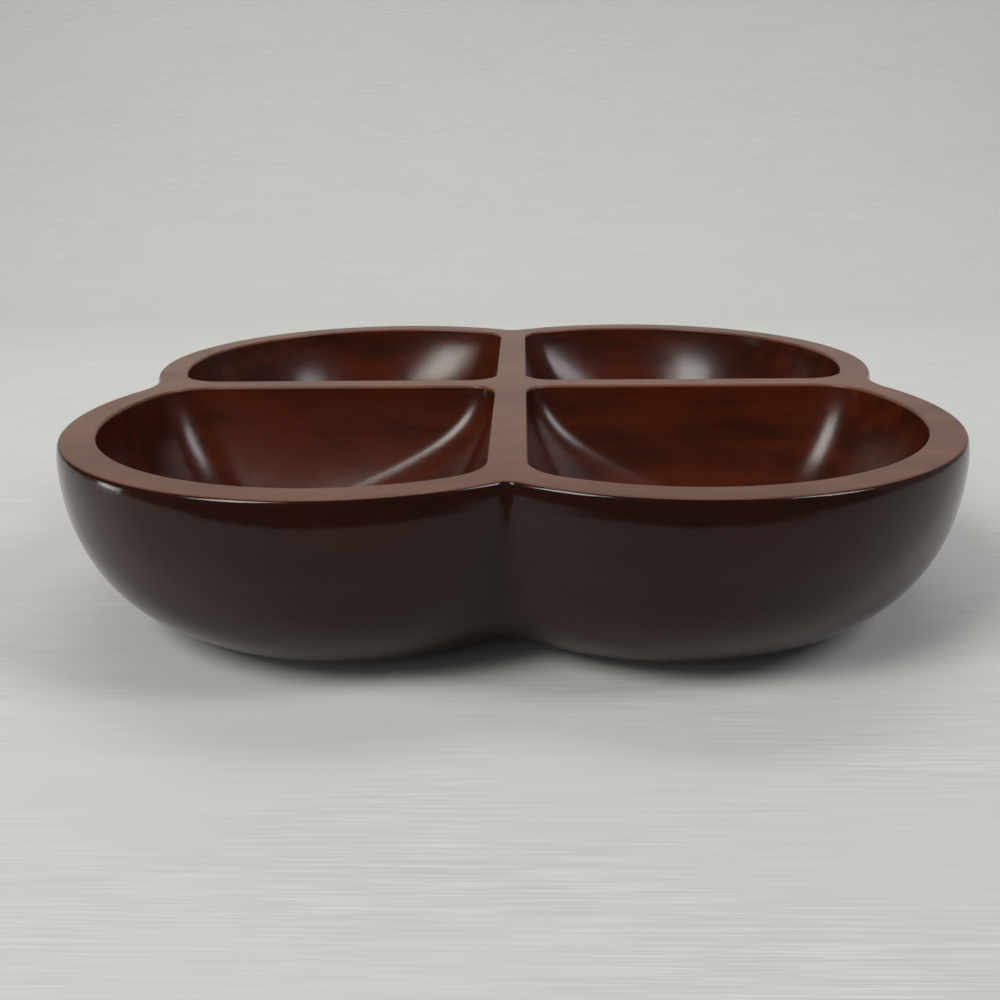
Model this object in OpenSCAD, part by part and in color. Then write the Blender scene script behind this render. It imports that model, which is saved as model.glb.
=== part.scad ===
// Divided serving bowl with four round lobes and four scooped compartments.
// It is carved from a blank of three boards, glued edge to edge with their grain along X.
// The bowl stands on z = 0 with its middle on the Z axis, and its front faces -Y.

/* [Bowl] */
// Width across the rim, from side to side
rim_span_x = 300; // [285:1:330]
// Length across the rim, from front to back
rim_span_y = 286; // [270:1:315]
// Height of the rim above the table
bowl_h = 64; // [50:0.5:80]
// Width across the flat underside, from side to side
base_span_x = 206; // [190:1:230]
// Length across the flat underside, from front to back
base_span_y = 198; // [180:1:220]
// How far the wall swells out past the rim
belly = 1; // [0.5:0.5:4]
// Depth below the rim where the wall is widest
belly_drop = 8; // [4:0.5:16]
// Squareness of the wall's curve below the belly, where 2 is an ellipse
wall_bend = 2.2; // [1.8:0.1:3]

/* [Lobes] */
// Radius of each lobe at the rim
lobe_r = 95.5; // [90:0.5:105]
// Radius of each lobe at the underside
base_lobe_r = 55; // [50:1:65]
// Radius that softens the clefts on the left and right, at the rim
side_cleft_r = 30; // [10:1:50]
// Radius that softens the clefts at the front and back, at the rim
end_cleft_r = 4; // [3:0.5:20]
// Radius that softens all four clefts at the underside
base_cleft_r = 25; // [10:1:40]

/* [Rim] */
// Width of the flat rim outside a compartment
rim_w = 11.5; // [8:0.5:15]
// Rounding of the rim's outer edge
rim_round = 1.4; // [0.5:0.1:3]
// Rounding of a compartment's lip
lip_round = 1; // [0.5:0.1:2]

/* [Dividers] */
// Thickness of the divider that runs front to back, at its top
long_divider_w = 12; // [8:0.5:18]
// Thickness of the divider that runs side to side, at its top
cross_divider_w = 10.5; // [8:0.5:18]

/* [Compartments] */
// Thickness of the floor under a compartment's lowest point
floor_t = 13; // [8:0.5:20]
// Radius of the flat patch at the bottom of a compartment
floor_r = 20; // [10:1:30]
// Radius of the lip's corner next to the crossing
inner_corner_r = 11; // [4:0.5:14]
// Radius of the lip's two corners next to the rim
rim_corner_r = 18; // [10:1:26]
// Radius that the corner next to the crossing grows to, at the depth of the floor
inner_corner_deep_r = 85; // [15:1:87]
// Radius that the two corners next to the rim grow to, at the depth of the floor
rim_corner_deep_r = 25; // [18:1:34]
// How late the corners start to widen on the way down, where 1 is at once
corner_delay = 3; // [1:0.1:4]
// How fast they widen halfway down, where 0 leaves most of it to the end
corner_swell = 1.6; // [0:0.1:2]
// Distance of the lowest point from the middle of the lip, away from the long divider
lowest_shift_x = 3; // [0:0.5:8]
// Distance of the lowest point from the middle of the lip, towards the cross divider
lowest_shift_y = 8; // [0:0.5:12]
// Share of a scooped wall's run that slopes evenly, where the rest is an ellipse
slope_share = 0.2; // [0:0.05:0.6]

/* [Boards] */
// Distance of each glue line from the middle of the bowl
seam_y = 41; // [30:1:60]

/* [Hidden] */
// Overrun of a cutting shape past the surface that it cuts
cut_over = 2;

// Steps along a quarter turn of a lobe, from there to a cleft, and along half a cleft
quarter_steps = 14;
side_steps = 5;
cleft_steps = 3;
// Steps along a lip's corner, along its straight sides and along its long outer curve
corner_steps = 5;
straight_steps = 5;
lip_steps = 14;
// Steps down a rounded edge, down to the belly, down the wall and down a compartment
round_steps = 2;
belly_steps = 2;
wall_steps = 8;
scoop_steps = 9;

// Centre of a lobe in the corner where X and Y are positive, at the rim and at the underside
lobe_at = [rim_span_x / 2 - lobe_r, rim_span_y / 2 - lobe_r];
base_lobe_at = [base_span_x / 2 - base_lobe_r, base_span_y / 2 - base_lobe_r];
// Radius of a compartment's long outer curve
scoop_r = lobe_r - rim_w;
// Depth of a compartment
scoop_h = bowl_h - floor_t;

function on_circle(centre, r, a) = centre + r * [cos(a), sin(a)];
function arc(centre, r, from, to, steps) =
    [for (i = [0:steps]) on_circle(centre, r, from + (to - from) * i / steps)];
function between(a, b, steps) = [for (i = [1:steps - 1]) a + (b - a) * i / steps];
function lifted(ring, z) = [for (p = ring) [p.x, p.y, z]];
function mixed(a, b, share) = a + (b - a) * share;
function leg(slant, side) = sqrt(slant * slant - side * side);

// A quarter of the four-lobed outline, from the cleft on +X to the one on +Y.
// Each cleft is an arc about a point on its axis, which touches the lobes on both sides.
function lobe_quarter(at, r, side_hollow, end_hollow) =
    let (
        side_at = [at.x + leg(r + side_hollow, at.y), 0],
        end_at = [0, at.y + leg(r + end_hollow, at.x)],
        from = atan2(side_at.y - at.y, side_at.x - at.x),
        to = atan2(end_at.y - at.y, end_at.x - at.x)
    )
    concat(
        arc(side_at, side_hollow, 180, 180 + from, cleft_steps),
        [for (i = [1:side_steps - 1]) on_circle(at, r, from - from * i / side_steps)],
        arc(at, r, 0, 90, quarter_steps),
        [for (i = [1:side_steps - 1]) on_circle(at, r, 90 + (to - 90) * i / side_steps)],
        arc(end_at, end_hollow, to - 180, -90, cleft_steps)
    );

function lobed_ring(at, r, side_hollow, end_hollow, z) =
    let (
        quarter = lobe_quarter(at, r, side_hollow, end_hollow),
        half = concat(quarter, [for (i = [len(quarter) - 2:-1:1]) [-quarter[i].x, quarter[i].y]])
    )
    lifted(concat(half, -half), z);

// The outside, in rings from the underside up

function wall_ring(a) =
    let (
        down = pow(sin(a), 2 / wall_bend),
        out = pow(cos(a), 2 / wall_bend)
    )
    lobed_ring(
        mixed(base_lobe_at, lobe_at, out),
        mixed(base_lobe_r, lobe_r + belly, out),
        mixed(side_cleft_r, base_cleft_r, down),
        mixed(end_cleft_r, base_cleft_r, down),
        (bowl_h - belly_drop) * (1 - down)
    );

// Lean of the wall from upright where the rim's rounded edge starts
edge_lean = atan(2 * belly / (belly_drop - rim_round));

// The wall bends in from the belly up to the rounded edge, where up is one
function belly_ring(up) =
    lobed_ring(
        lobe_at,
        lobe_r + belly * (1 - up * up),
        side_cleft_r,
        end_cleft_r,
        bowl_h - belly_drop + (belly_drop - rim_round * (1 - sin(edge_lean))) * up
    );

function arris_ring(a) =
    let (drawn_in = rim_round * (cos(edge_lean) - cos(a)))
    lobed_ring(
        lobe_at,
        lobe_r - drawn_in,
        side_cleft_r + drawn_in,
        end_cleft_r + drawn_in,
        bowl_h - rim_round * (1 - sin(a))
    );

outside_rings = concat(
    [for (i = [wall_steps:-1:1]) wall_ring(90 * i / wall_steps)],
    [for (i = [0:belly_steps]) belly_ring(i / belly_steps)],
    [for (i = [1:round_steps]) arris_ring(mixed(edge_lean, 90, i / round_steps))]
);

// A compartment, in the corner where X and Y are positive.
// Its lip has two straight sides and an arc about the lobe's centre, joined by three corner arcs.
// Grown moves the whole lip out by that much, and deep is the share of their widening that the corners have.
function lip_outline(grown, deep) =
    let (
        side = [long_divider_w / 2 - grown, cross_divider_w / 2 - grown],
        near_r = mixed(inner_corner_r, inner_corner_deep_r, deep) + grown,
        end_r = mixed(rim_corner_r, rim_corner_deep_r, deep) + grown,
        reach = scoop_r + grown - end_r,
        x_end = [lobe_at.x + leg(reach, side.y + end_r - lobe_at.y), side.y + end_r],
        y_end = [side.x + end_r, lobe_at.y + leg(reach, side.x + end_r - lobe_at.x)],
        from = atan2(x_end.y - lobe_at.y, x_end.x - lobe_at.x),
        to = atan2(y_end.y - lobe_at.y, y_end.x - lobe_at.x)
    )
    concat(
        arc(side + [near_r, near_r], near_r, 180, 270, corner_steps),
        between([side.x + near_r, side.y], [x_end.x, side.y], straight_steps),
        arc(x_end, end_r, -90, from, corner_steps),
        [for (i = [1:lip_steps - 1]) on_circle(lobe_at, scoop_r + grown, mixed(from, to, i / lip_steps))],
        arc(y_end, end_r, to, 180, corner_steps),
        between([side.x, y_end.y], [side.x, side.y + near_r], straight_steps)
    );

// Lowest point of a compartment in plan
scoop_middle = [
    mixed(long_divider_w / 2, lobe_at.x + scoop_r, 1 / 2) + lowest_shift_x,
    mixed(cross_divider_w / 2, lobe_at.y + scoop_r, 1 / 2) - lowest_shift_y
];

// Share of their widening that the corners have at a share of the depth
function widened(down) = pow(down, corner_delay) * (1 + corner_swell * (1 - down));

// The lip's outline drawn in towards the round floor patch
function scoop_ring(a) =
    let (in = mixed(1 - cos(a), sin(a), slope_share))
    lifted(
        [for (p = lip_outline(0, widened(sin(a))))
            let (arm = p - scoop_middle)
            scoop_middle + mixed(arm, floor_r * arm / norm(arm), in)],
        bowl_h - lip_round - (scoop_h - lip_round) * sin(a)
    );

function lip_ring(a) =
    lifted(lip_outline(lip_round * (1 - cos(a)), 0), bowl_h - lip_round * (1 - sin(a)));

scoop_rings = concat(
    [for (i = [scoop_steps:-1:0]) scoop_ring(90 * i / scoop_steps)],
    [for (i = [1:round_steps]) lip_ring(90 * i / round_steps)],
    [lifted(lip_outline(lip_round, 0), bowl_h + cut_over)]
);

// Solid between rings of equal count, listed from the lowest up, with a fan of triangles at each end
module skin(rings, middle) {
    n = len(rings[0]);
    last = len(rings) - 1;
    points = concat(
        [for (ring = rings) each ring],
        [for (end = [rings[0], rings[last]]) [middle.x, middle.y, end[0].z]]
    );
    under = (last + 1) * n;
    over = under + 1;
    faces = [
        for (j = [0:n - 1])
            let (k = (j + 1) % n)
            each concat(
                [[under, j, k], [over, last * n + k, last * n + j]],
                [for (i = [0:last - 1]) each [
                    [i * n + j, (i + 1) * n + j, (i + 1) * n + k],
                    [i * n + j, (i + 1) * n + k, i * n + k]
                ]]
            )
    ];
    polyhedron(points = points, faces = faces, convexity = 6);
}

module scoop() {
    skin(scoop_rings, scoop_middle);
}

module carved_bowl() {
    difference() {
        skin(outside_rings, [0, 0]);
        for (x = [0, 1])
            for (y = [0, 1])
                mirror([x, 0, 0])
                    mirror([0, y, 0])
                        scoop();
    }
}

// Past the widest point of the bowl on every side
half_x = rim_span_x / 2 + belly + cut_over;
half_y = rim_span_y / 2 + belly + cut_over;

// The part of the bowl between two planes across Y
module board(from_y, to_y) {
    intersection() {
        carved_bowl();
        translate([-half_x, from_y, -cut_over])
            cube([2 * half_x, to_y - from_y, bowl_h + 2 * cut_over]);
    }
}

module front_board() {
    color([0.33, 0.13, 0.09]) board(-half_y, -seam_y);
}

module centre_board() {
    color([0.37, 0.15, 0.10]) board(-seam_y, seam_y);
}

module rear_board() {
    color([0.30, 0.12, 0.08]) board(seam_y, half_y);
}

front_board();
centre_board();
rear_board();
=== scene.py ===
import math

import bmesh
import bpy
import numpy as np
from mathutils import Euler, Matrix, Vector, noise


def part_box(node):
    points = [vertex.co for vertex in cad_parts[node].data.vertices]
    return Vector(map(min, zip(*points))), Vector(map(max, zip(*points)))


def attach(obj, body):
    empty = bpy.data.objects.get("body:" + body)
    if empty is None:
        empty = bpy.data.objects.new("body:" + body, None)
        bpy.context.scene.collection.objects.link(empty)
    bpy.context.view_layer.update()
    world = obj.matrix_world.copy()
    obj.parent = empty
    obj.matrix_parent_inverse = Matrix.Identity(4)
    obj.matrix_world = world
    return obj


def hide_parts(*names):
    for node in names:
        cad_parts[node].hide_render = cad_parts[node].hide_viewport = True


bl_info = {
    "name": "Divided Serving Bowl",
    "version": (1, 0, 0),
    "blender": (4, 5, 0),
    "location": "View3D > Sidebar > Serving Bowl",
    "description": "Makes a four-lobed serving bowl carved from three glued boards, with its stage",
    "category": "Add Mesh",
}

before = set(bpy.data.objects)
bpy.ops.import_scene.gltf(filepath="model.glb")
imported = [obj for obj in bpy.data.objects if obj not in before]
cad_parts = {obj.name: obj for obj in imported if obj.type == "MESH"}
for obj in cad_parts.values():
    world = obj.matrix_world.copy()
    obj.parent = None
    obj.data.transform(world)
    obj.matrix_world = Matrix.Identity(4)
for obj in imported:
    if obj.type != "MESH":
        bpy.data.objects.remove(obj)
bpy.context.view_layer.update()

BODY = "root"
MM = 0.001
# Distance below which two places count as one
NEAR = 1e-6

# Farthest corner of the centre board, and the bowl's width across its rim
SEAM_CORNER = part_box("centre_board")[1]
WIDEST_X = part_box("front_board")[1].x
RIM_SPAN_X = 0.300


# Sizes and colours that a user would change

def length(name, description, default):
    return bpy.props.FloatProperty(name=name, description=description, default=default, unit="LENGTH")


def share(name, description, default):
    return bpy.props.FloatProperty(
        name=name, description=description, default=default, min=0.0, max=1.0, subtype="FACTOR"
    )


def turn(name, description, default):
    return bpy.props.FloatProperty(name=name, description=description, default=default, unit="ROTATION")


def colour(name, description, default):
    return bpy.props.FloatVectorProperty(
        name=name, description=description, default=default, min=0.0, max=1.0, size=3, subtype="COLOR"
    )


class BowlShape(bpy.types.PropertyGroup):
    """Sizes of the carved bowl."""

    rim_span_x: length("Rim width", "Width across the rim, from side to side", RIM_SPAN_X)
    rim_span_y: length("Rim length", "Length across the rim, from front to back", 0.286)
    height: length("Height", "Height of the rim above the table", SEAM_CORNER.z)
    base_span_x: length("Base width", "Width across the flat underside", 0.206)
    base_span_y: length("Base length", "Length across the flat underside", 0.198)
    belly: length("Belly", "How far the wall swells out past the rim", WIDEST_X - RIM_SPAN_X / 2)
    belly_drop: length("Belly drop", "Depth below the rim where the wall is widest", 0.008)
    wall_bend: bpy.props.FloatProperty(
        name="Wall bend", description="Squareness of the wall's curve, where 2 is an ellipse", default=2.2
    )
    lobe_r: length("Lobe radius", "Radius of each lobe at the rim", 0.0955)
    base_lobe_r: length("Base lobe radius", "Radius of each lobe at the underside", 0.055)
    side_cleft_r: length("Side cleft radius", "Softens the clefts on the left and right", 0.030)
    end_cleft_r: length("End cleft radius", "Softens the clefts at the front and back", 0.004)
    base_cleft_r: length("Base cleft radius", "Softens all four clefts at the underside", 0.025)
    rim_w: length("Rim breadth", "Breadth of the flat rim outside a compartment", 0.0115)
    rim_round: length("Rim rounding", "Rounding of the rim's outer edge", 0.0014)
    lip_round: length("Lip rounding", "Rounding of a compartment's lip", 0.001)
    long_divider_w: length("Long divider", "Thickness of the divider from front to back", 0.012)
    cross_divider_w: length("Cross divider", "Thickness of the divider from side to side", 0.0105)
    floor_t: length("Floor", "Thickness under a compartment's lowest point", 0.013)
    floor_r: length("Floor patch", "Radius of the flat patch of a compartment", 0.020)
    inner_corner_r: length("Inner corner", "Radius of a lip's corner next to the crossing", 0.011)
    rim_corner_r: length("Outer corners", "Radius of a lip's corners next to the rim", 0.018)
    inner_corner_deep_r: length("Inner corner, deep", "Radius that the inner corner grows to", 0.085)
    rim_corner_deep_r: length("Outer corners, deep", "Radius that the outer corners grow to", 0.025)
    corner_delay: bpy.props.FloatProperty(
        name="Corner delay", description="How late the corners start to widen on the way down", default=3.0
    )
    corner_swell: bpy.props.FloatProperty(
        name="Corner swell", description="How fast the corners widen halfway down", default=1.6
    )
    lowest_shift_x: length("Lowest point out", "Its distance outwards from the middle of the lip", 0.003)
    lowest_shift_y: length("Lowest point in", "Its distance inwards from the middle of the lip", 0.008)
    slope_share: share("Slope", "Share of a scooped wall's run that slopes evenly", 0.2)
    seam_y: length("Glue line", "Distance of each glue line from the middle", SEAM_CORNER.y)
    tool_depth: length("Tool marks", "Depth of the soft waves that carving left", 0.0004)
    tool_span: length("Tool span", "Distance from one soft wave to the next", 0.045)


class BowlFinish(bpy.types.PropertyGroup):
    """Colours and gloss of the stained and lacquered wood, with painted shade in the outer wall's colour and
    partly painted sheen in the rim's.
    """

    heartwood: colour("Heartwood", "Redder wood between the dark figure", (0.052, 0.0082, 0.0020))
    figure: colour("Figure", "Dark wood of the figure", (0.025, 0.0048, 0.0016))
    # The outer wall's darker wood colour is painted shade.
    shaded_outer_wood: colour("Outer wood", "Outer wall, which took more stain", (0.0115, 0.0036, 0.0024))
    # The rim's wood and figure are paler than the walls', partly as paler wood and partly as painted sheen.
    rim_wood_with_sheen: colour("Rim wood", "Wood of the rubbed rim, where the stain is thinner", (0.128, 0.050, 0.027))
    rim_figure_with_sheen: colour("Rim figure", "Dark figure on the rubbed rim", (0.088, 0.032, 0.018))
    pores: colour("Pores", "Stain that lies in the pores and glue lines", (0.010, 0.004, 0.003))
    rim_gloss: share("Rim roughness", "Roughness of the rubbed rim", 0.32)
    lacquer: share("Lacquer roughness", "Roughness of the lacquer in the compartments", 0.24)
    outer_lacquer: share("Outer roughness", "Roughness of the lacquer on the outer wall", 0.13)


class BowlStudio(bpy.types.PropertyGroup):
    """Camera, floor and lights."""

    camera_place: bpy.props.FloatVectorProperty(
        name="Camera", description="Place of the camera", default=(0.0044, -0.3866, 0.1474),
        subtype="TRANSLATION", unit="LENGTH",
    )
    camera_heading: turn("Heading", "Turn of the camera to the left of straight ahead", 0.0238)
    camera_dip: turn("Dip", "How far the camera looks down", 0.3292)
    camera_roll: turn("Roll", "Tilt of the camera about its own line of sight", -0.0109)
    lens: bpy.props.FloatProperty(name="Lens", description="Focal length for a 36 mm sensor", default=36.08)
    floor_tone: colour("Floor", "Colour of the floor and backdrop", (0.49, 0.487, 0.465))
    room_tone: colour("Room", "Colour of the dim room behind the camera", (0.07, 0.07, 0.07))


# Outlines in plan, as rows of X and Y

def mixed(a, b, amount):
    return a + (b - a) * amount


def leg(slant, side):
    return math.sqrt(slant * slant - side * side)


def on_circle(centre, radius, angles):
    return np.asarray(centre) + radius * np.stack([np.cos(angles), np.sin(angles)], axis=-1)


def arc(centre, radius, start, end, steps):
    return on_circle(centre, radius, np.linspace(start, end, steps + 1))


def inner_points(points):
    return points[1:-1]


QUARTER = math.pi / 2

# Steps along a quarter turn of a lobe, from there to a cleft, and along half a cleft
QUARTER_STEPS = 60
SIDE_STEPS = 22
CLEFT_STEPS = 9


def lobed_outline(at, radius, side_hollow, end_hollow):
    """The four-lobed outline, where at is a lobe's centre and each cleft's arc has its centre on an axis."""
    side_at = np.array([at[0] + leg(radius + side_hollow, at[1]), 0.0])
    end_at = np.array([0.0, at[1] + leg(radius + end_hollow, at[0])])
    start = math.atan2(side_at[1] - at[1], side_at[0] - at[0])
    end = math.atan2(end_at[1] - at[1], end_at[0] - at[0])
    quarter = np.concatenate([
        arc(side_at, side_hollow, math.pi, math.pi + start, CLEFT_STEPS),
        inner_points(arc(at, radius, start, 0.0, SIDE_STEPS)),
        arc(at, radius, 0.0, QUARTER, QUARTER_STEPS),
        inner_points(arc(at, radius, QUARTER, end, SIDE_STEPS)),
        arc(end_at, end_hollow, end - math.pi, -QUARTER, CLEFT_STEPS),
    ])
    half = np.concatenate([quarter, inner_points(quarter[::-1]) * [-1, 1]])
    return np.concatenate([half, -half])


# Steps along a lip's corner, along its straight sides and along its long outer curve
CORNER_STEPS = 12
STRAIGHT_STEPS = 26
LIP_STEPS = 56


def lip_outline(shape, grown, deep):
    """A compartment's lip where X and Y are positive: two straight sides, a long arc and three corners.

    Grown moves the lip out by that much, and deep is the share of their widening that the corners have.
    """
    lobe_at = lobe_centre(shape)
    reach_r = shape.lobe_r - shape.rim_w
    side = np.array([shape.long_divider_w, shape.cross_divider_w]) / 2 - grown
    near_r = mixed(shape.inner_corner_r, shape.inner_corner_deep_r, deep) + grown
    end_r = mixed(shape.rim_corner_r, shape.rim_corner_deep_r, deep) + grown
    reach = reach_r + grown - end_r
    x_end = np.array([lobe_at[0] + leg(reach, side[1] + end_r - lobe_at[1]), side[1] + end_r])
    y_end = np.array([side[0] + end_r, lobe_at[1] + leg(reach, side[0] + end_r - lobe_at[0])])
    start = math.atan2(x_end[1] - lobe_at[1], x_end[0] - lobe_at[0])
    end = math.atan2(y_end[1] - lobe_at[1], y_end[0] - lobe_at[0])
    near_corner = arc(side + near_r, near_r, math.pi, 3 * QUARTER, CORNER_STEPS)
    x_corner = arc(x_end, end_r, -QUARTER, start, CORNER_STEPS)
    y_corner = arc(y_end, end_r, end, math.pi, CORNER_STEPS)
    return np.concatenate([
        near_corner,
        inner_points(np.linspace(near_corner[-1], x_corner[0], STRAIGHT_STEPS)),
        x_corner,
        inner_points(arc(lobe_at, reach_r + grown, start, end, LIP_STEPS)),
        y_corner,
        inner_points(np.linspace(y_corner[-1], near_corner[0], STRAIGHT_STEPS)),
    ])


def lobe_centre(shape):
    return np.array([shape.rim_span_x / 2 - shape.lobe_r, shape.rim_span_y / 2 - shape.lobe_r])


# Surfaces, as rings of points from the lowest up

# Steps down the wall, the belly, a rounded edge, a compartment and across its floor patch
WALL_STEPS = 52
BELLY_STEPS = 8
ROUND_STEPS = 6
SCOOP_STEPS = 44
FLOOR_STEPS = 9


def lifted(outline, z):
    return np.column_stack([outline, np.full(len(outline), z)])


def turns(steps, first=0):
    """Angles from nought to a quarter turn, from the step named first on."""
    return [QUARTER * i / steps for i in range(first, steps + 1)]


def outside_rings(shape):
    top = lobe_centre(shape)
    base = np.array([
        shape.base_span_x / 2 - shape.base_lobe_r,
        shape.base_span_y / 2 - shape.base_lobe_r,
    ])
    rings = []
    for a in reversed(turns(WALL_STEPS, 1)):
        down = math.sin(a) ** (2 / shape.wall_bend)
        out = max(math.cos(a), 0.0) ** (2 / shape.wall_bend)
        outline = lobed_outline(
            mixed(base, top, out),
            mixed(shape.base_lobe_r, shape.lobe_r + shape.belly, out),
            mixed(shape.side_cleft_r, shape.base_cleft_r, down),
            mixed(shape.end_cleft_r, shape.base_cleft_r, down),
        )
        rings.append(lifted(outline, (shape.height - shape.belly_drop) * (1 - down)))
    lean = math.atan(2 * shape.belly / (shape.belly_drop - shape.rim_round))
    rise = shape.belly_drop - shape.rim_round * (1 - math.sin(lean))
    for up in np.linspace(0.0, 1.0, BELLY_STEPS + 1):
        outline = lobed_outline(
            top, shape.lobe_r + shape.belly * (1 - up * up), shape.side_cleft_r, shape.end_cleft_r
        )
        rings.append(lifted(outline, shape.height - shape.belly_drop + rise * up))
    for a in np.linspace(lean, QUARTER, ROUND_STEPS + 1)[1:]:
        drawn_in = shape.rim_round * (math.cos(lean) - math.cos(a))
        outline = lobed_outline(
            top, shape.lobe_r - drawn_in, shape.side_cleft_r + drawn_in, shape.end_cleft_r + drawn_in
        )
        rings.append(lifted(outline, shape.height - shape.rim_round * (1 - math.sin(a))))
    return np.array(rings)


def scoop_rings(shape):
    """A compartment's surface where X and Y are positive, from the middle of its floor up to the rim."""
    reach = lobe_centre(shape) + shape.lobe_r - shape.rim_w
    middle = mixed(np.array([shape.long_divider_w, shape.cross_divider_w]) / 2, reach, 1 / 2)
    middle += [shape.lowest_shift_x, -shape.lowest_shift_y]
    depth = shape.height - shape.floor_t
    rings = []
    for a in reversed(turns(SCOOP_STEPS)):
        down = math.sin(a)
        widened = down ** shape.corner_delay * (1 + shape.corner_swell * (1 - down))
        arms = lip_outline(shape, 0.0, widened) - middle
        patch = shape.floor_r * arms / np.linalg.norm(arms, axis=1)[:, None]
        if not rings:
            rings += [lifted(middle + patch * i / FLOOR_STEPS, shape.floor_t) for i in range(1, FLOOR_STEPS)]
        inwards = mixed(1 - math.cos(a), math.sin(a), shape.slope_share)
        z = shape.height - shape.lip_round - (depth - shape.lip_round) * math.sin(a)
        rings.append(lifted(middle + mixed(arms, patch, inwards), z))
    for a in turns(ROUND_STEPS, 1):
        outline = lip_outline(shape, shape.lip_round * (1 - math.cos(a)), 0.0)
        rings.append(lifted(outline, shape.height - shape.lip_round * (1 - math.sin(a))))
    return np.array(rings), np.array([*middle, shape.floor_t])


# The carved blank as one closed mesh, and the three boards cut from it

def add_rings(wood, rings):
    """Adds the quads between rings and returns the vertices, ring by ring."""
    rows = [[wood.verts.new(point) for point in ring] for ring in rings]
    for low, high in zip(rows, rows[1:]):
        for i in range(len(low)):
            wood.faces.new((low[i - 1], low[i], high[i], high[i - 1]))
    return rows


def add_fan(wood, row, point):
    tip = wood.verts.new(point)
    for i in range(len(row)):
        wood.faces.new((row[i], row[i - 1], tip))


def fill_flat(wood, z, normal):
    """Fills the flat between all open edges at that height."""
    edges = [e for e in wood.edges if e.is_boundary and all(abs(v.co.z - z) < NEAR for v in e.verts)]
    bmesh.ops.triangle_fill(wood, edges=edges, normal=normal, use_beauty=True)


def eased(value, start, end):
    """Nought before start and one after end, with a smooth climb between."""
    t = min(max((value - start) / (end - start), 0.0), 1.0)
    return t * t * (3 - 2 * t)


def carve_waves(wood, shape):
    """Sinks the walls a little here and there, as hand tools do, and leaves the rim and underside flat."""
    wood.normal_update()
    fade = 0.006
    small_span = shape.tool_span * 0.4
    small_share = 0.3
    for v in wood.verts:
        below_rim = eased(shape.height - v.co.z, shape.rim_round, fade)
        above_base = eased(v.co.z, 0.0, fade)
        wave = noise.noise(v.co / shape.tool_span) + noise.noise(v.co / small_span) * small_share
        depth = shape.tool_depth * (0.5 + 0.5 * max(min(wave, 1.0), -1.0))
        v.co -= v.normal * depth * below_rim * above_base


def keep_normals(wood, shape):
    """Stores each vertex's smooth normal, so that the boards shade as one surface across a glue line."""
    kept = wood.verts.layers.float_vector.new("smooth_normal")
    wood.normal_update()
    for v in wood.verts:
        if abs(v.co.z - shape.height) < NEAR:
            v[kept] = Vector((0, 0, 1))
        elif abs(v.co.z) < NEAR:
            v[kept] = Vector((0, 0, -1))
        else:
            v[kept] = v.normal


def carved_blank(shape):
    wood = bmesh.new()
    add_rings(wood, outside_rings(shape))
    rings, lowest = scoop_rings(shape)
    for x in (-1, 1):
        for y in (-1, 1):
            rows = add_rings(wood, rings * [x, y, 1])
            add_fan(wood, rows[0], lowest * [x, y, 1])
    fill_flat(wood, shape.height, (0, 0, 1))
    fill_flat(wood, 0.0, (0, 0, -1))
    bmesh.ops.recalc_face_normals(wood, faces=wood.faces)
    if any(not e.is_manifold for e in wood.edges):
        raise RuntimeError("The carved blank isn't closed.")
    carve_waves(wood, shape)
    keep_normals(wood, shape)
    return wood


def cut_across(wood, y, outward):
    """Throws away the wood past a plane across Y and closes the cut with a flat face."""
    cut = bmesh.ops.bisect_plane(
        wood, geom=wood.verts[:] + wood.edges[:] + wood.faces[:], dist=1e-7,
        plane_co=(0, y, 0), plane_no=(0, outward, 0), clear_outer=True,
    )
    edges = [piece for piece in cut["geom_cut"] if isinstance(piece, bmesh.types.BMEdge)]
    flat = bmesh.ops.edgeloop_fill(wood, edges=edges)["faces"]
    if not flat:
        raise RuntimeError("The cut across the blank isn't closed.")
    bmesh.ops.triangulate(wood, faces=flat, ngon_method="EAR_CLIP")


def board_mesh(name, shape, low_y, high_y):
    wood = carved_blank(shape)
    if low_y is not None:
        cut_across(wood, low_y, -1)
    if high_y is not None:
        cut_across(wood, high_y, 1)
    bmesh.ops.recalc_face_normals(wood, faces=wood.faces)
    if any(not e.is_manifold for e in wood.edges):
        raise RuntimeError(f"{name} isn't closed.")
    kept = wood.verts.layers.float_vector["smooth_normal"]
    normals = []
    for face in wood.faces:
        face.smooth = True
        on_cut = any(
            y is not None and all(abs(v.co.y - y) < NEAR for v in face.verts) for y in (low_y, high_y)
        )
        for corner in face.loops:
            normals.append(face.normal.copy() if on_cut else corner.vert[kept].normalized())
    mesh = bpy.data.meshes.new(name)
    wood.to_mesh(mesh)
    wood.free()
    mesh.attributes.remove(mesh.attributes["smooth_normal"])
    mesh.normals_split_custom_set(normals)
    return mesh


# Shader nodes

class Link:
    """One output of a shader node. Sums, products and the like on it add Math nodes."""

    def __init__(self, tree, socket):
        self.tree = tree
        self.socket = socket

    def __add__(self, other):
        return self.tree.maths("ADD", self, other)

    def __radd__(self, other):
        return self.tree.maths("ADD", other, self)

    def __sub__(self, other):
        return self.tree.maths("SUBTRACT", self, other)

    def __rsub__(self, other):
        return self.tree.maths("SUBTRACT", other, self)

    def __mul__(self, other):
        return self.tree.maths("MULTIPLY", self, other)

    def __rmul__(self, other):
        return self.tree.maths("MULTIPLY", other, self)

    def __abs__(self):
        return self.tree.maths("ABSOLUTE", self)


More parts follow.
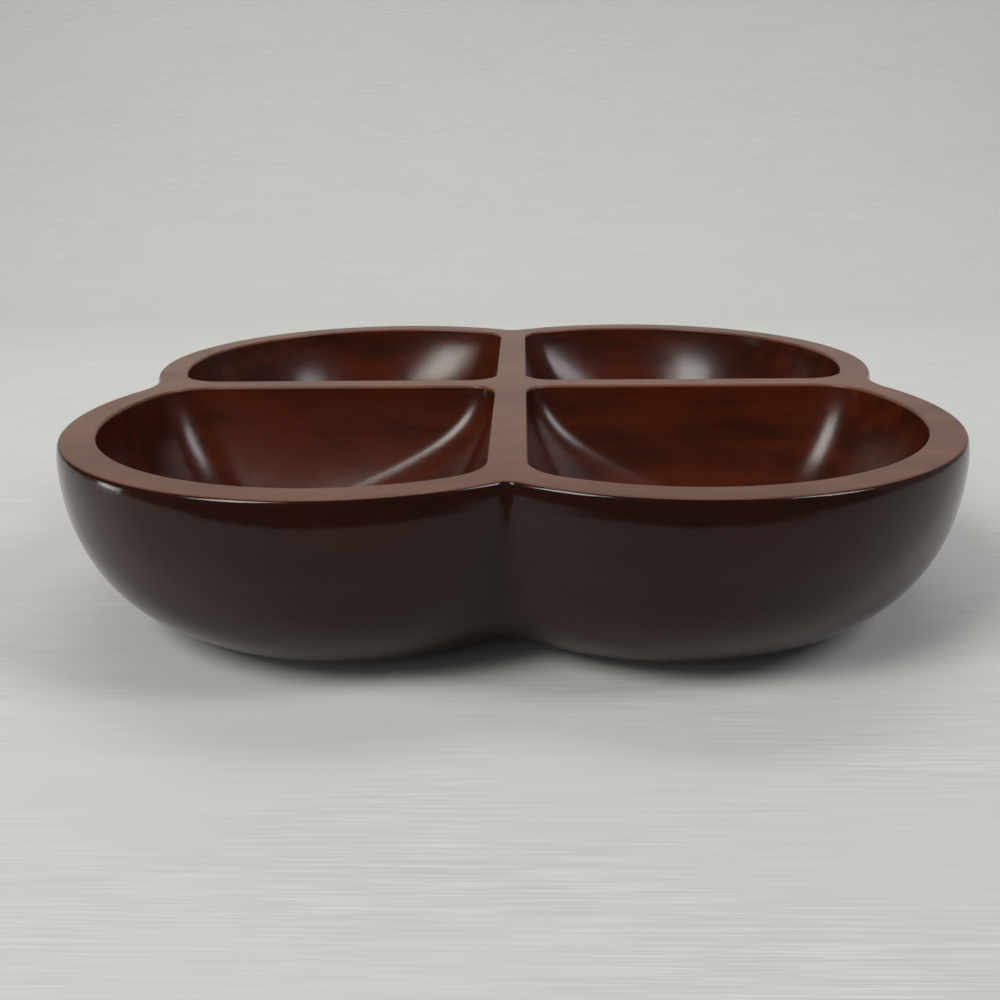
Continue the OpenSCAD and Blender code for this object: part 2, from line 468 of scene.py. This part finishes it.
class ShaderTree:
    """Adds nodes to a material and joins them up."""

    def __init__(self, name):
        self.material = bpy.data.materials.new(name)
        self.material.use_nodes = True
        self.nodes = self.material.node_tree.nodes
        self.links = self.material.node_tree.links
        self.nodes.clear()

    def add(self, kind, settings, inputs, output=0):
        """Adds a node of that kind, sets its settings first, then its sockets, and returns one output."""
        node = self.nodes.new(kind)
        for name, value in settings.items():
            setattr(node, name, value)
        for name, value in inputs.items():
            if isinstance(value, Link):
                self.links.new(value.socket, node.inputs[name])
            else:
                node.inputs[name].default_value = value
        return Link(self, node.outputs[output]) if node.outputs else None

    def maths(self, operation, *values):
        return self.add("ShaderNodeMath", {"operation": operation}, dict(enumerate(values)))

    def vector(self, operation, *values):
        output = 1 if operation == "LENGTH" else 0
        return self.add("ShaderNodeVectorMath", {"operation": operation}, dict(enumerate(values)), output)

    def split(self, vector):
        """The X, Y and Z of a vector, as three links."""
        first = self.add("ShaderNodeSeparateXYZ", {}, {"Vector": vector})
        return [Link(self, socket) for socket in first.socket.node.outputs]

    def joined(self, x, y, z):
        return self.add("ShaderNodeCombineXYZ", {}, {"X": x, "Y": y, "Z": z})

    def climb(self, value, start, end):
        """Nought at start and one at end, with a smooth climb between."""
        return self.add(
            "ShaderNodeMapRange", {"interpolation_type": "SMOOTHSTEP"},
            {"Value": value, "From Min": start, "From Max": end},
        )

    def cloud(self, vector, scale, detail=2.0, roughness=0.5):
        return self.add(
            "ShaderNodeTexNoise", {},
            {"Vector": vector, "Scale": scale, "Detail": detail, "Roughness": roughness},
        )

    def blended(self, amount, a, b):
        """A colour between a and b."""
        factor, first, second, result = 0, 6, 7, 2
        return self.add(
            "ShaderNodeMix", {"data_type": "RGBA"}, {factor: amount, first: a, second: b}, result
        )


def opaque(rgb):
    return (*rgb, 1.0)


# Materials

def lacquered_wood(name, shape, finish, offset_mm, tone):
    """Stained wood with its grain along X, glossy lacquer on the walls and a rubbed, satin rim, with painted
    shade on the outer wall and partly painted sheen on the rim.
    """
    tree = ShaderTree(name)
    place = tree.add("ShaderNodeTexCoord", {}, {}, "Object")
    place = tree.vector("SCALE", place)
    place.socket.node.inputs["Scale"].default_value = 1 / MM
    x, y, z = tree.split(place)
    shifted = tree.vector("ADD", place, offset_mm)
    sx, sy, sz = tree.split(shifted)

    # Patches that lean, growth rings, streaks along the grain and pores
    bend = tree.cloud(tree.joined(sx * 0.011, sy * 0.02, sz * 0.02), 1.0)
    leaning = sx + sz * 0.9 + sy * 0.35
    patches = tree.cloud(tree.joined(leaning * 0.018, sy * 0.03, sz * 0.045), 1.0, 3.0, 0.55)
    rings = tree.cloud(tree.joined(sx * 0.004, sy * 0.12 + bend * 3.0, sz * 0.12), 1.0, 2.0)
    streaks = tree.cloud(tree.joined(sx * 0.02, sy * 0.7 + bend * 4.0, sz * 0.7), 1.0, 3.0, 0.6)
    pores = tree.cloud(tree.joined(sx * 0.16, sy * 2.2, sz * 2.2), 1.0, 1.0)
    pore = tree.climb(pores, 0.6, 0.72)

    # The outer wall leans in by less than half its depth below the rim, but for the foot under the floors
    height_mm = shape.height / MM
    lobe_r_mm = shape.lobe_r / MM
    floor_mm = shape.floor_t / MM
    lobe_at = lobe_centre(shape) / MM
    from_lobe = tree.vector("LENGTH", tree.joined(abs(x) - lobe_at[0], abs(y) - lobe_at[1], 0.0))
    below_rim = height_mm - z
    on_wall = tree.climb(from_lobe + below_rim * 0.5, lobe_r_mm - 5.0, lobe_r_mm - 4.0)
    on_foot = tree.climb(z, floor_mm - 1.0, floor_mm - 2.0)
    outside = on_wall + on_foot * (1 - on_wall)
    # Colour
    dark = tree.climb(patches * 0.6 + rings * 0.3 + streaks * 0.1, 0.60 - tone, 0.40 - tone)
    wood = tree.blended(dark, opaque(finish.heartwood), opaque(finish.figure))
    # Painted shade: the outer wall and the foot below the floors are blended towards a darker colour.
    wood = tree.blended(outside * 0.8, wood, opaque(finish.shaded_outer_wood))
    wood = tree.blended(pore * 0.45, wood, opaque(finish.pores))
    # Both glue lines
    seam_mm = shape.seam_y / MM
    seam = 1 - tree.climb(abs(abs(y) - seam_mm), 0.04, 0.22)
    wood = tree.blended(seam * 0.7, wood, opaque(finish.pores))

    # The rubbed rim ends just past a lip's round inside and on the arris outside
    rim_on_lip = tree.climb(z, height_mm - 1.2, height_mm - 0.8)
    rim_on_edge = tree.climb(z, height_mm - 0.30, height_mm - 0.12)
    rim = rim_on_lip + (rim_on_edge - rim_on_lip) * outside
    # The rim's paler colour is partly painted sheen.
    wood = tree.blended(rim, wood, tree.blended(dark, opaque(finish.rim_wood_with_sheen), opaque(finish.rim_figure_with_sheen)))
    # Gloss and relief
    wall_gloss = mixed(finish.lacquer, finish.outer_lacquer, outside) + (streaks - 0.5) * 0.04
    roughness = wall_gloss + rim * (finish.rim_gloss - wall_gloss)

    ripple = tree.cloud(place, 0.09, 2.0)
    skin = tree.cloud(place, 0.5, 2.0)
    relief = ripple * 0.10 + skin * 0.010 + streaks * 0.008 - pore * 0.006
    bumped = tree.add("ShaderNodeBump", {}, {"Height": relief, "Distance": MM, "Strength": 1.0})
    surface = tree.add("ShaderNodeBsdfPrincipled", {}, {
        "Base Color": wood,
        "Roughness": roughness,
        "IOR": 1.5,
        "Specular IOR Level": 0.265,
        "Normal": bumped,
    })
    tree.add("ShaderNodeOutputMaterial", {}, {"Surface": surface})
    return tree.material


def pale_sheet(name, tone):
    """The plain floor and backdrop, with fine lines from side to side."""
    tree = ShaderTree(name)
    place = tree.add("ShaderNodeTexCoord", {}, {}, "Object")
    x, y, z = tree.split(place)
    along = y + z
    fine = tree.cloud(tree.joined(x * 38.0, along * 2100.0, 0.0), 1.0, 1.0)
    middling = tree.cloud(tree.joined(x * 24.0, along * 760.0, 0.0), 1.0, 2.0, 0.6)
    broad = tree.cloud(tree.joined(x * 4.0, along * 50.0, 0.0), 1.0, 3.0, 0.6)
    # Where the lines are strong and where they are faint
    strength = tree.climb(tree.cloud(tree.joined(x * 7.0, along * 16.0, 0.0), 1.0, 2.0), 0.3, 0.7)
    lines = tree.climb(fine, 0.4, 0.7) * 0.55 + tree.climb(middling, 0.4, 0.7) * 0.45
    streak = 0.4 + (lines - 0.4) * (strength * 0.8 + 0.2) + (broad - 0.5) * 0.25
    darker = [channel * 0.90 for channel in tone]
    paler = [channel * 1.15 for channel in tone]
    shade = tree.blended(streak, opaque(darker), opaque(paler))
    surface = tree.add("ShaderNodeBsdfPrincipled", {}, {"Base Color": shade, "Roughness": 0.55, "IOR": 1.4})
    tree.add("ShaderNodeOutputMaterial", {}, {"Surface": surface})
    return tree.material


# Pieces

def add_board(scene, node, low_y, high_y, offset_mm, tone):
    """Adds the board between two planes across Y, with a figure of its own by the offset and tone."""
    shape, finish = scene.bowl_shape, scene.bowl_finish
    name = node + "_carved"
    mesh = board_mesh(name, shape, low_y, high_y)
    mesh.materials.append(lacquered_wood("lacquered_" + node, shape, finish, offset_mm, tone))
    board = bpy.data.objects.new(name, mesh)
    scene.collection.objects.link(board)
    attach(board, BODY)
    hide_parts(node)
    return board


class BOWL_OT_add_front_board(bpy.types.Operator):
    """Add the front board, with the front wall and the front ends of two compartments"""

    bl_idname = "bowl.add_front_board"
    bl_label = "Front Board"

    def execute(self, context):
        seam = context.scene.bowl_shape.seam_y
        add_board(context.scene, "front_board", None, -seam, offset_mm=(310, 40, 15), tone=0.0)
        return {"FINISHED"}


class BOWL_OT_add_centre_board(bpy.types.Operator):
    """Add the centre board, with the crossing of the dividers and both side clefts"""

    bl_idname = "bowl.add_centre_board"
    bl_label = "Centre Board"

    def execute(self, context):
        seam = context.scene.bowl_shape.seam_y
        add_board(context.scene, "centre_board", -seam, seam, offset_mm=(-120, 210, 80), tone=0.02)
        return {"FINISHED"}


class BOWL_OT_add_rear_board(bpy.types.Operator):
    """Add the rear board, with the rear wall and the rear ends of two compartments"""

    bl_idname = "bowl.add_rear_board"
    bl_label = "Rear Board"

    def execute(self, context):
        seam = context.scene.bowl_shape.seam_y
        add_board(context.scene, "rear_board", seam, None, offset_mm=(90, -160, 130), tone=-0.01)
        return {"FINISHED"}


# Stage

def add_camera(scene):
    studio = scene.bowl_studio
    data = bpy.data.cameras.new("camera")
    data.sensor_width = 36.0
    data.lens = studio.lens
    camera = bpy.data.objects.new("camera", data)
    scene.collection.objects.link(camera)
    turned = Euler((QUARTER - studio.camera_dip, 0.0, studio.camera_heading)).to_matrix()
    turned = turned @ Matrix.Rotation(studio.camera_roll, 3, "Z")
    camera.location = studio.camera_place
    camera.rotation_euler = turned.to_euler()
    scene.camera = camera


def add_softbox(scene, name, place, aim, size, power, tone=(1.0, 1.0, 1.0)):
    """A rectangular light of that breadth and height, in watts, turned towards aim."""
    data = bpy.data.lights.new(name, "AREA")
    data.shape = "RECTANGLE"
    data.size, data.size_y = size
    data.energy = power
    data.color = tone
    light = bpy.data.objects.new(name, data)
    scene.collection.objects.link(light)
    light.location = place
    light.rotation_euler = (Vector(place) - Vector(aim)).to_track_quat("Z", "Y").to_euler()
    return light


def add_lights(scene):
    """Two tall softboxes like windows, weak panels low at the sides and fill for the floor and backdrop."""
    bowl = (0.0, 0.0, 0.05)
    warm = (1.0, 1.0, 0.96)
    cool = (0.96, 0.95, 1.0)
    pale_warm = (1.0, 1.0, 0.98)
    pale_cool = (0.95, 0.95, 1.0)
    add_softbox(scene, "left_softbox", (-1.0, -0.93, 1.33), bowl, (0.66, 0.84), power=30.0, tone=warm)
    add_softbox(scene, "right_softbox", (1.28, -0.47, 1.33), bowl, (0.45, 0.80), power=15.0, tone=cool)
    add_softbox(scene, "left_panel", (-1.2, -0.10, 0.07), bowl, (0.20, 0.12), power=0.55, tone=pale_warm)
    add_softbox(scene, "right_panel", (1.3, 0.10, 0.35), bowl, (1.2, 0.7), power=0.4, tone=pale_cool)
    add_softbox(scene, "overhead_softbox", (0.0, 0.50, 1.6), bowl, (1.2, 0.5), power=3.0)
    floor_behind = (0.0, 0.5, 0.0)
    backdrop = add_softbox(scene, "backdrop_softbox", (0.0, 0.45, 1.7), floor_behind, (2.2, 0.3), power=2.6)
    backdrop.data.spread = math.radians(65.0)
    fill = add_softbox(scene, "front_fill", (-0.9, -1.3, 0.6), bowl, (1.6, 0.5), power=3.4)
    fill.visible_glossy = False


def add_backdrop(scene):
    """The floor, which sweeps up behind the bowl."""
    half_width = 1.8
    front_y, sweep_y, sweep_r, top_z = -0.33, 0.6, 0.5, 1.4
    steps = 24
    profile = [(front_y, 0.0)]
    profile += [
        (sweep_y + sweep_r * math.sin(a), sweep_r * (1 - math.cos(a)))
        for a in np.linspace(0.0, QUARTER, steps + 1)
    ]
    profile.append((sweep_y + sweep_r, top_z))
    sheet = bmesh.new()
    rows = [[sheet.verts.new((x, y, z)) for x in (-half_width, half_width)] for y, z in profile]
    for near, far in zip(rows, rows[1:]):
        face = sheet.faces.new((near[0], near[1], far[1], far[0]))
        face.smooth = True
    mesh = bpy.data.meshes.new("backdrop")
    sheet.to_mesh(mesh)
    sheet.free()
    mesh.materials.append(pale_sheet("pale_sheet", scene.bowl_studio.floor_tone))
    backdrop = bpy.data.objects.new("backdrop", mesh)
    scene.collection.objects.link(backdrop)


def add_room(scene):
    room = bpy.data.worlds.new("room")
    room.use_nodes = True
    room.node_tree.nodes["Background"].inputs["Color"].default_value = opaque(scene.bowl_studio.room_tone)
    scene.world = room


class BOWL_OT_add_camera(bpy.types.Operator):
    """Add the camera, at hand height in front of the bowl"""

    bl_idname = "bowl.add_camera"
    bl_label = "Camera"

    def execute(self, context):
        add_camera(context.scene)
        return {"FINISHED"}


class BOWL_OT_add_stage(bpy.types.Operator):
    """Add the floor, the backdrop, the room and its lights"""

    bl_idname = "bowl.add_stage"
    bl_label = "Stage"

    def execute(self, context):
        scene = context.scene
        add_backdrop(scene)
        add_room(scene)
        add_lights(scene)
        return {"FINISHED"}


# Add-on

class BOWL_PT_panel(bpy.types.Panel):
    """Lists the bowl's pieces, sizes and finish"""

    bl_label = "Serving Bowl"
    bl_idname = "BOWL_PT_panel"
    bl_space_type = "VIEW_3D"
    bl_region_type = "UI"
    bl_category = "Serving Bowl"

    def draw(self, context):
        for operator in OPERATORS:
            self.layout.operator(operator.bl_idname)
        for group in (context.scene.bowl_shape, context.scene.bowl_finish, context.scene.bowl_studio):
            box = self.layout.box()
            for name in group.__annotations__:
                box.prop(group, name)


OPERATORS = (
    BOWL_OT_add_camera,
    BOWL_OT_add_front_board,
    BOWL_OT_add_centre_board,
    BOWL_OT_add_rear_board,
    BOWL_OT_add_stage,
)
CLASSES = (BowlShape, BowlFinish, BowlStudio, *OPERATORS, BOWL_PT_panel)


def register():
    for item in CLASSES:
        bpy.utils.register_class(item)
    bpy.types.Scene.bowl_shape = bpy.props.PointerProperty(type=BowlShape)
    bpy.types.Scene.bowl_finish = bpy.props.PointerProperty(type=BowlFinish)
    bpy.types.Scene.bowl_studio = bpy.props.PointerProperty(type=BowlStudio)


def unregister():
    del bpy.types.Scene.bowl_studio
    del bpy.types.Scene.bowl_finish
    del bpy.types.Scene.bowl_shape
    for item in reversed(CLASSES):
        bpy.utils.unregister_class(item)


def main():
    register()
    bpy.ops.bowl.add_camera()
    bpy.ops.bowl.add_front_board()
    bpy.ops.bowl.add_centre_board()
    bpy.ops.bowl.add_rear_board()
    bpy.ops.bowl.add_stage()
    bpy.context.scene.view_settings.view_transform = "Standard"


if __name__ == "__main__":
    main()
